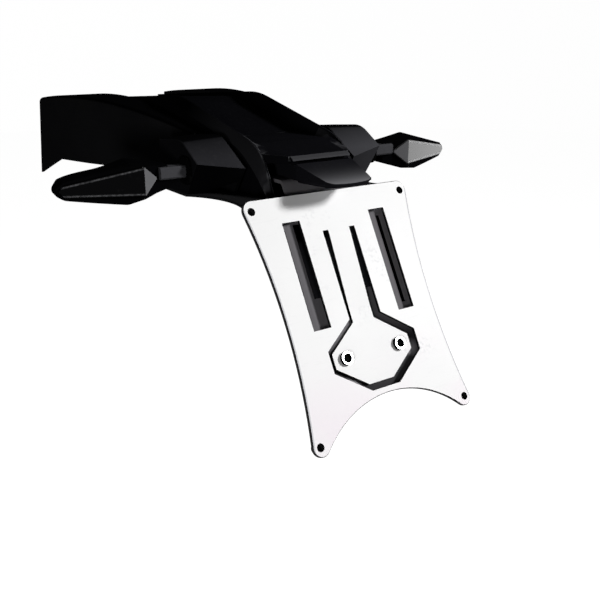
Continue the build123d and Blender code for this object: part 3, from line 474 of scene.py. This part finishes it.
# Plate support and its back cover
# The support is one sheet folded on a brake, powder coated in satin dark grey, and bolted to the bracket.
# The cover behind it is a shallow black moulding on four small screws.
plate_lean = math.radians(30)
plate_down = (0.0, -math.sin(plate_lean), -math.cos(plate_lean))
plate_top = (0.0, -0.265, -0.022)
# The support's neck and rails get painted light, and its pad two painted highlights
rail_end = (0.115, 0.13)
rail_share = 0.45
pad_highlights = ((0.0435, 0.1405), (-0.0265, 0.1555))
highlight_reach = (0.009, 0.002)


def far_from_axis(tree, beside, below):
    """Distance from an axis, from the distances to it in two directions."""
    return worked_out(
        tree,
        "SQRT",
        worked_out(
            tree,
            "ADD",
            worked_out(tree, "MULTIPLY", beside, beside),
            worked_out(tree, "MULTIPLY", below, below),
        ),
    )


def rails_and_pad_highlights(tree):
    """Mask of painted light on the neck and the rails,
    and of two painted highlights on the pad beside the paddle's edge.
    """
    place = own_place(tree)
    across = axes_of(tree, place)["X"]
    drop = along(tree, place, plate_down, plate_top)
    mask = stretched(tree, drop, *rail_end, rail_share, 0.0)
    for highlight_across, highlight_drop in pad_highlights:
        beside = worked_out(tree, "SUBTRACT", across, highlight_across)
        below = worked_out(tree, "SUBTRACT", drop, highlight_drop)
        pad_highlight = growing(tree, far_from_axis(tree, beside, below), *highlight_reach)
        mask = worked_out(tree, "MAXIMUM", mask, pad_highlight)
    return mask


support_coat = powder_coat(
    "support powder coat",
    dark=(0.034, 0.033, 0.036),
    light=(0.044, 0.043, 0.046),
    smooth=0.4,
    rough=0.55,
    gloss=0.0,
    painted_light=rails_and_pad_highlights,
    painted_light_grey=(0.3, 0.288, 0.305),
)
dress(support_coat, "plate_support")

back_black = moulded_black(
    "back cover black",
    dark=(0.005, 0.005, 0.006),
    light=(0.007, 0.007, 0.008),
    smooth=0.6,
    rough=0.75,
    grain=800.0,
    depth=0.25,
)
dress(back_black, "back_cover")

# Plate lamp
# A moulded hood plugged under the deck and screwed to the support's flange.
# Its clear lens lies in the underside, below a small lamp board that hangs from two posts.
# The hood's top gets a painted highlight towards its rear edge
hood_highlight_span = (-0.242, -0.294)
hood_highlight_power = 5.0
hood_top_lean = (0.2, 0.5)
ripple_scale = 160.0
clear_sheen = (0.04, 0.12)
track_scale = 260.0
mask_greens = {
    "Color1": (0.016, 0.1, 0.042, 1.0),
    "Color2": (0.02, 0.125, 0.05, 1.0),
    "Mortar": (0.05, 0.17, 0.07, 1.0),
}
mask_sheen = (0.3, 0.45)


def hood_edge(tree):
    """Mask of a painted highlight that grows along the hood's top towards its rear edge."""
    rearward = growing(tree, axes_of(tree, own_place(tree))["Y"], *hood_highlight_span)
    return worked_out(
        tree,
        "MULTIPLY",
        worked_out(tree, "POWER", rearward, hood_highlight_power),
        growing(tree, axes_of(tree, facing(tree))["Z"], *hood_top_lean),
    )


hood_black = moulded_black(
    "hood black",
    dark=(0.008, 0.008, 0.01),
    light=(0.011, 0.011, 0.013),
    smooth=0.42,
    rough=0.55,
    grain=1200.0,
    depth=0.15,
    painted_light=hood_edge,
    painted_light_grey=(0.165, 0.165, 0.175),
)
dress(hood_black, "lamp_hood")
break_edges("lamp_hood", width=0.0004)

clear_plastic, clear_tree, clear_shader = new_finish(
    "clear lens plastic", (0.9, 0.92, 0.95), roughness=0.06
)
clear_shader.inputs["Transmission Weight"].default_value = 0.85
clear_shader.inputs["IOR"].default_value = 1.49
clear_ripple = cloud(clear_tree, own_place(clear_tree), ripple_scale, detail=1.0)
clear_tree.links.new(
    stretched(clear_tree, clear_ripple, *noise_range, *clear_sheen), clear_shader.inputs["Roughness"]
)
bumped(clear_tree, clear_shader, clear_ripple, strength=0.1, distance=0.0005)
dress(clear_plastic, "lamp_lens")

# Lamp boards are green glass-fibre boards with copper tracks under the solder mask
board_green, board_tree, board_shader = new_finish("solder mask", (0.02, 0.12, 0.05), roughness=0.35)
board_tracks = board_tree.nodes.new("ShaderNodeTexBrick")
board_tracks.inputs["Scale"].default_value = track_scale
for mask_label, mask_green in mask_greens.items():
    board_tracks.inputs[mask_label].default_value = mask_green
board_tree.links.new(own_place(board_tree), board_tracks.inputs["Vector"])
board_tree.links.new(board_tracks.outputs["Color"], board_shader.inputs["Base Color"])
board_tree.links.new(
    stretched(board_tree, board_tracks.outputs["Fac"], 0.0, 1.0, *mask_sheen),
    board_shader.inputs["Roughness"],
)
dress(board_green, "lamp_board", "left_indicator_board", "right_indicator_board")

# Carrier plate
# Three-millimetre sheet with a white face and a black core that shows at every cut edge.
# It is laser cut, its tongue is pressed back, and two screws hold the paddle to the support.
plate_outward = (0.0, -math.cos(plate_lean), math.sin(plate_lean))
face_white = (0.87, 0.87, 0.87)
smudge_and_edge_shade_grey = (0.58, 0.58, 0.6)
face_reflected_pink = (0.86, 0.79, 0.84)
core_black = (0.008, 0.008, 0.009)
face_sheen = (0.36, 0.5)
cut_flatness = 0.78
reflection_drop = (0.12, 0.22)
reflection_patch_scale = 16.0
reflection_patch_range = (0.42, 0.62)
smudge_share = 0.35
scratch_share = 0.06
side_centre_half = 0.60678
side_centre_drop = 0.09929
side_radius = 0.52928
side_line = (0.002, 0.0016)
spot_scale = 330.0
patch_range = (0.6, 0.72)
spot_range = (0.5, 0.62)
scratch_turn = (0.5, 0.9, 0.3)
scratch_stretch = (1.0, 14.0, 14.0)
scratch_level = 0.5
scratch_width = (0.007, 0.002)

# Handling marks are faint smudges, and hairline scratches drawn out in one direction
handling, handling_in, handling_out = new_group(
    "handling marks", [("Smudge Scale", 26.0), ("Scratch Scale", 9.0)], ["Smudge", "Scratch"]
)
handling_place = own_place(handling)
handling_patch = cloud(
    handling, handling_place, handling_in.outputs["Smudge Scale"], detail=7.0, distortion=0.4
)
handling_spots = cloud(handling, handling_place, spot_scale, detail=2.0)
handling_broken = worked_out(
    handling,
    "MULTIPLY",
    growing(handling, handling_patch, *patch_range),
    growing(handling, handling_spots, *spot_range),
)
handling.links.new(handling_broken, handling_out.inputs["Smudge"])
handling_turn = handling.nodes.new("ShaderNodeMapping")
handling_turn.inputs["Rotation"].default_value = scratch_turn
handling_turn.inputs["Scale"].default_value = scratch_stretch
handling.links.new(handling_place, handling_turn.inputs["Vector"])
handling_lines = cloud(
    handling, handling_turn.outputs["Vector"], handling_in.outputs["Scratch Scale"], detail=3.0
)
handling_near = worked_out(
    handling, "ABSOLUTE", worked_out(handling, "SUBTRACT", handling_lines, scratch_level)
)
handling.links.new(growing(handling, handling_near, *scratch_width), handling_out.inputs["Scratch"])

carrier, carrier_tree, carrier_shader = new_finish(
    "white sheet with black core", face_white, roughness=0.42, gloss=0.05
)
carrier_place = own_place(carrier_tree)
carrier_across = worked_out(carrier_tree, "ABSOLUTE", axes_of(carrier_tree, carrier_place)["X"])
carrier_drop = along(carrier_tree, carrier_place, plate_down, plate_top)
# A pinkish painted reflection grows in patches towards the bottom of the face
carrier_pink_reflection = worked_out(
    carrier_tree,
    "MULTIPLY",
    growing(carrier_tree, carrier_drop, *reflection_drop),
    growing(carrier_tree, cloud(carrier_tree, carrier_place, reflection_patch_scale, detail=3.0), *reflection_patch_range),
)
carrier_white = blended(carrier_tree, carrier_pink_reflection, face_white, face_reflected_pink)
carrier_marks = place_group(carrier_tree, handling, Smudge_Scale=24.0, Scratch_Scale=7.0)
carrier_soil = worked_out(
    carrier_tree,
    "MAXIMUM",
    worked_out(carrier_tree, "MULTIPLY", carrier_marks.outputs["Smudge"], smudge_share),
    worked_out(carrier_tree, "MULTIPLY", carrier_marks.outputs["Scratch"], scratch_share),
)

# A fine grey line of painted shade follows the curved sides, just inside them
carrier_inside = worked_out(
    carrier_tree,
    "SUBTRACT",
    far_from_axis(
        carrier_tree,
        worked_out(carrier_tree, "SUBTRACT", carrier_across, side_centre_half),
        worked_out(carrier_tree, "SUBTRACT", carrier_drop, side_centre_drop),
    ),
    side_radius,
)
carrier_line = growing(carrier_tree, carrier_inside, *side_line)
carrier_soiled_and_edge_shaded = blended(
    carrier_tree, worked_out(carrier_tree, "MAXIMUM", carrier_soil, carrier_line), carrier_white, smudge_and_edge_shade_grey
)

carrier_normal = carrier_tree.nodes.new("ShaderNodeNewGeometry").outputs["True Normal"]
carrier_flat = worked_out(carrier_tree, "ABSOLUTE", along(carrier_tree, carrier_normal, plate_outward))
carrier_cut = worked_out(carrier_tree, "LESS_THAN", carrier_flat, cut_flatness)
carrier_tree.links.new(
    blended(carrier_tree, carrier_cut, carrier_soiled_and_edge_shaded, core_black), carrier_shader.inputs["Base Color"]
)
carrier_peel = place_group(carrier_tree, orange_peel, Peel_Scale=420.0, Cloud_Scale=14.0)
bumped(carrier_tree, carrier_shader, carrier_peel.outputs["Height"], strength=0.05, distance=0.0003)
carrier_tree.links.new(
    stretched(carrier_tree, carrier_peel.outputs["Cloud"], *noise_range, *face_sheen),
    carrier_shader.inputs["Roughness"],
)
dress(carrier, "carrier_plate")

# Screws through the paddle, and the closed nuts behind the plate's corner holes
# Low round heads with a bright zinc plating; painted shade darkens the hexagon socket and the head's side.
# The corner nuts are blackened and welded to the back of the sheet.
socket_and_side_shade = (0.004, 0.0045, 0.0045)
paddle_screw_half = 0.0289
paddle_screw_drop = 0.1347
socket_reach = 0.0041
head_reach = 0.0057

paddle_zinc, paddle_tree, paddle_shader, paddle_colour = bright_zinc("bright zinc with dark sockets")
paddle_place = own_place(paddle_tree)
paddle_across = worked_out(paddle_tree, "ABSOLUTE", axes_of(paddle_tree, paddle_place)["X"])
paddle_drop = along(paddle_tree, paddle_place, plate_down, plate_top)
paddle_reach = far_from_axis(
    paddle_tree,
    worked_out(paddle_tree, "SUBTRACT", paddle_across, paddle_screw_half),
    worked_out(paddle_tree, "SUBTRACT", paddle_drop, paddle_screw_drop),
)
# Painted shade darkens the socket and the head's side wall, which are not metallic there
paddle_painted_shade = worked_out(
    paddle_tree,
    "MAXIMUM",
    worked_out(paddle_tree, "LESS_THAN", paddle_reach, socket_reach),
    worked_out(paddle_tree, "GREATER_THAN", paddle_reach, head_reach),
)
paddle_tree.links.new(
    blended(paddle_tree, paddle_painted_shade, paddle_colour, socket_and_side_shade), paddle_shader.inputs["Base Color"]
)
paddle_tree.links.new(worked_out(paddle_tree, "SUBTRACT", 1.0, paddle_painted_shade), paddle_shader.inputs["Metallic"])
paddle_shader.inputs["Specular IOR Level"].default_value = 0.0
dress(paddle_zinc, "plate_screws")
break_edges("plate_screws", width=0.0004)

nut_black = powder_coat(
    "blackened nut", dark=(0.012, 0.012, 0.012), light=(0.02, 0.02, 0.02), smooth=0.4, rough=0.55
)
dress(nut_black, "corner_nuts")

# Indicators
# Each has a rubber base on the pod, a moulded stalk clamped by a nut inside, and a polished shell.
# A smoked faceted lens is welded into the shell's rear face, over its own lamp board.
base_rubber = moulded_black(
    "base rubber",
    dark=(0.0015, 0.0015, 0.0015),
    light=(0.003, 0.003, 0.003),
    smooth=0.6,
    rough=0.75,
    grain=600.0,
    depth=0.3,
)
stalk_black = moulded_black(
    "stalk black",
    dark=(0.046, 0.046, 0.05),
    light=(0.056, 0.056, 0.061),
    smooth=0.35,
    rough=0.48,
    grain=1000.0,
    depth=0.15,
)
shell_black = moulded_black(
    "shell black",
    dark=(0.0012, 0.0012, 0.0015),
    light=(0.002, 0.002, 0.0024),
    smooth=0.16,
    rough=0.26,
    grain=500.0,
    depth=0.01,
)
dress(base_rubber, "left_indicator_base", "right_indicator_base")
dress(stalk_black, "left_indicator_stalk", "right_indicator_stalk")
dress(shell_black, "left_indicator_shell", "right_indicator_shell")
break_edges("left_indicator_shell", "right_indicator_shell", width=0.0005)

smoked_dark = (0.0012, 0.0012, 0.0015)
# The paler grey serves smudges and also the lens's painted reflection and highlights
smudge_and_painted_light_grey = (0.125, 0.125, 0.131)
smoked_sheen = (0.05, 0.14)
smoked_smudge_share = 0.04
inner_turn = (-0.3, -0.4)
gleam_scale = 500.0
gleam_range = (0.35, 0.65)
gleam_share = (0.3, 1.0)
lens_start_half = 0.1436
lens_edges = ((0.1825, 0.9832, 0.012), (0.039, -0.9992, -0.0116))
line_inset = 0.0013
line_width = (0.0003, 0.0009)
line_share = 0.7

smoked, smoked_tree, smoked_shader = new_finish("smoked lens", smoked_dark, roughness=0.1, gloss=0.025)
smoked_marks = place_group(smoked_tree, handling, Smudge_Scale=60.0, Scratch_Scale=16.0)
smoked_tree.links.new(
    stretched(smoked_tree, smoked_marks.outputs["Scratch"], 0.0, 1.0, *smoked_sheen),
    smoked_shader.inputs["Roughness"],
)
smoked_place = own_place(smoked_tree)
smoked_axes = axes_of(smoked_tree, smoked_place)
smoked_normal = smoked_tree.nodes.new("ShaderNodeNewGeometry").outputs["True Normal"]

# The facet next to the stalk is painted paler, a painted reflection
smoked_outward = worked_out(
    smoked_tree,
    "MULTIPLY",
    axes_of(smoked_tree, smoked_normal)["X"],
    worked_out(smoked_tree, "SIGN", smoked_axes["X"]),
)
smoked_painted_light = growing(smoked_tree, smoked_outward, *inner_turn)

# A painted highlight runs as a pale line just inside the upper and the lower edge of the main face;
# each edge is given by its direction outward and upward, square to it, and by its height where it starts
smoked_across = worked_out(smoked_tree, "ABSOLUTE", smoked_axes["X"])
smoked_from_start = worked_out(smoked_tree, "SUBTRACT", smoked_across, lens_start_half)
smoked_gleam = stretched(
    smoked_tree, cloud(smoked_tree, smoked_place, gleam_scale, detail=2.0), *gleam_range, *gleam_share
)
for edge_out, edge_up, edge_start_up in lens_edges:
    smoked_from_edge = worked_out(
        smoked_tree,
        "ADD",
        worked_out(smoked_tree, "MULTIPLY", smoked_from_start, edge_out),
        worked_out(
            smoked_tree,
            "MULTIPLY",
            worked_out(smoked_tree, "SUBTRACT", smoked_axes["Z"], edge_start_up),
            edge_up,
        ),
    )
    smoked_from_line = worked_out(
        smoked_tree, "ABSOLUTE", worked_out(smoked_tree, "ADD", smoked_from_edge, line_inset)
    )
    smoked_line = worked_out(
        smoked_tree,
        "MULTIPLY",
        stretched(smoked_tree, smoked_from_line, *line_width, line_share, 0.0),
        smoked_gleam,
    )
    smoked_painted_light = worked_out(smoked_tree, "MAXIMUM", smoked_painted_light, smoked_line)
smoked_tree.links.new(
    blended(
        smoked_tree,
        worked_out(smoked_tree, "MULTIPLY", smoked_marks.outputs["Smudge"], smoked_smudge_share),
        blended(smoked_tree, smoked_painted_light, smoked_dark, smudge_and_painted_light_grey),
        smudge_and_painted_light_grey,
    ),
    smoked_shader.inputs["Base Color"],
)
dress(smoked, "left_indicator_lens", "right_indicator_lens")
break_edges("left_indicator_lens", "right_indicator_lens", width=0.0007)

# Studio paper
# One seamless sheet lies far below the object and stands up as a ring wall round it.
# It is white to the camera and in reflections, and still takes the object's shadow.
paper_drop = 0.6
paper_level = cad_box[0][2] - paper_drop
paper_radius = 7.0
paper_height = 6.0
paper_turns = 96
paper_grey = (0.25, 0.25, 0.25)
seen_white = (0.98, 0.98, 0.98)

paper_points = [(0.0, 0.0, paper_level)]
for height in (paper_level, paper_level + paper_height):
    for step in range(paper_turns):
        angle = 2 * math.pi * step / paper_turns
        paper_points.append((paper_radius * math.cos(angle), paper_radius * math.sin(angle), height))
paper_faces = []
for step in range(paper_turns):
    low, low_next = 1 + step, 1 + (step + 1) % paper_turns
    paper_faces.append((0, low, low_next))
    paper_faces.append((low, low + paper_turns, low_next + paper_turns, low_next))
paper_mesh = bpy.data.meshes.new("studio_paper")
paper_mesh.from_pydata(paper_points, [], paper_faces)
paper = bpy.data.objects.new("studio_paper", paper_mesh)
bpy.context.collection.objects.link(paper)

paper_finish, paper_tree, paper_shader = new_finish("studio paper", paper_grey, roughness=0.9, gloss=0.0)
paper_shader.inputs["Emission Color"].default_value = (*seen_white, 1.0)
paper_path = paper_tree.nodes.new("ShaderNodeLightPath")
paper_seen = worked_out(
    paper_tree,
    "MAXIMUM",
    worked_out(
        paper_tree, "MAXIMUM", paper_path.outputs["Is Camera Ray"], paper_path.outputs["Is Glossy Ray"]
    ),
    paper_path.outputs["Is Transmission Ray"],
)
paper_tree.links.new(paper_seen, paper_shader.inputs["Emission Strength"])
paper_mesh.materials.append(paper_finish)

# Lamps
# A key lamp at the rear right throws the hood's shadow on the plate, and a card at the rear left fills it.
# A softbox at the right shows in the right lens, and a front lamp lights the faces towards the motorbike.
room_light = 0.04

world = bpy.data.worlds.new("dim room")
world.use_nodes = True
world.node_tree.nodes["Background"].inputs["Color"].default_value = (1.0, 1.0, 1.0, 1.0)
world.node_tree.nodes["Background"].inputs["Strength"].default_value = room_light
bpy.context.scene.world = world


def lamp(name, place, target, width, height, power):
    """A rectangular area lamp at a place, turned to a target."""
    data = bpy.data.lights.new(name, "AREA")
    data.shape = "RECTANGLE"
    data.size = width
    data.size_y = height
    data.energy = power
    head = bpy.data.objects.new(name, data)
    head.location = place
    head.rotation_euler = (Vector(target) - Vector(place)).to_track_quat("-Z", "Y").to_euler()
    bpy.context.collection.objects.link(head)


lamp("key lamp", (1.41, -1.64, 0.96), (0.0, -0.3, -0.08), width=0.35, height=0.35, power=53.0)
lamp("right softbox", (1.55, -0.6, -0.24), (0.1, -0.2, 0.0), width=0.3, height=0.2, power=5.0)
lamp("rear card", (-0.8, -0.95, -0.05), (0.05, -0.25, -0.05), width=0.14, height=0.14, power=3.0)
lamp("front lamp", (-0.25, 1.65, 0.25), (0.0, 0.0, 0.0), width=0.6, height=0.4, power=16.0)

# Camera
# It stands at the photograph's place, behind the part, to its left and a little above it,
# and the long side of its sensor is level.
camera_place = Vector((-0.39089, -0.78632, 0.11728))
look_along = Vector((0.5349, 0.7761, -0.3340)).normalized()
to_the_right = Vector((0.8235, -0.5675, 0.0)).normalized()
camera_up = to_the_right.cross(look_along).normalized()
camera_data = bpy.data.cameras.new("camera")
camera_data.sensor_width = 36.0
camera_data.lens = 45.81
camera = bpy.data.objects.new("camera", camera_data)
turn = Matrix((to_the_right, camera_up, -look_along)).transposed().to_4x4()
camera.matrix_world = Matrix.Translation(camera_place) @ turn
bpy.context.collection.objects.link(camera)
bpy.context.scene.camera = camera
bpy.context.scene.view_settings.view_transform = "Standard"
